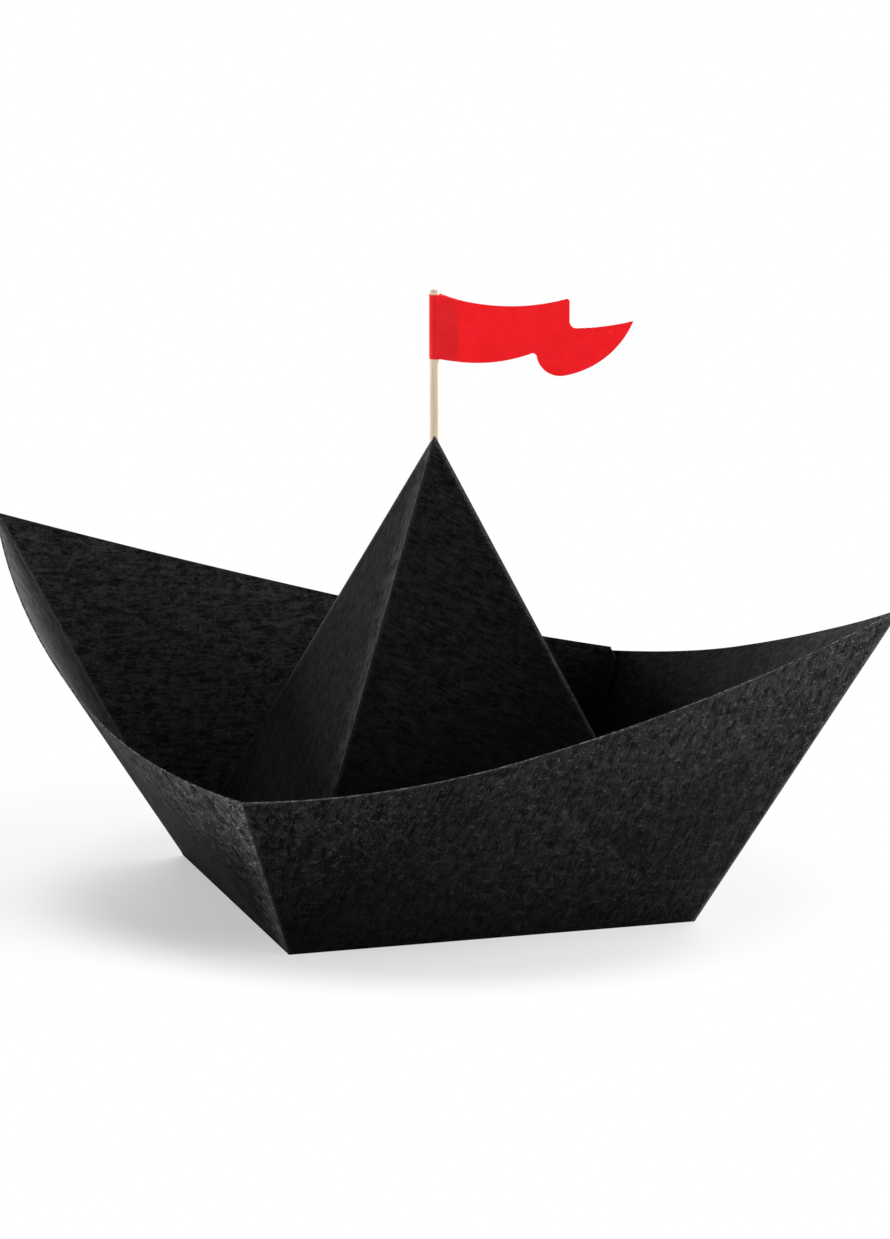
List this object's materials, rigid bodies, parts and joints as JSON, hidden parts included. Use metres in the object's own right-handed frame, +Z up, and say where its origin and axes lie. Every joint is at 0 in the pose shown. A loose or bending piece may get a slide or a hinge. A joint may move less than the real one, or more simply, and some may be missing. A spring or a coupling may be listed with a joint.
{
  "type": "origami sailboat",
  "caption": "Boat folded from one sheet of card, with a hollow pyramid sail, raised stems, and a paper flag on a wooden stick.",
  "frame": {"origin": "on the floor, at the centre of the square on which the sail stands", "axes": "+X along the boat towards one stem, +Y across it towards the side with the sheet's seam, +Z up along the mast"},
  "size_m": [0.2244, 0.1738, 0.1339],
  "materials": {
    "card": "matt black, fibrous",
    "stick": "plain pale wood",
    "flag_paper": "matt red"
  },
  "bodies": {
    "root": {"folded_boat": "card", "mast": "stick", "flag": "flag_paper"}
  },
  "joints": []
}
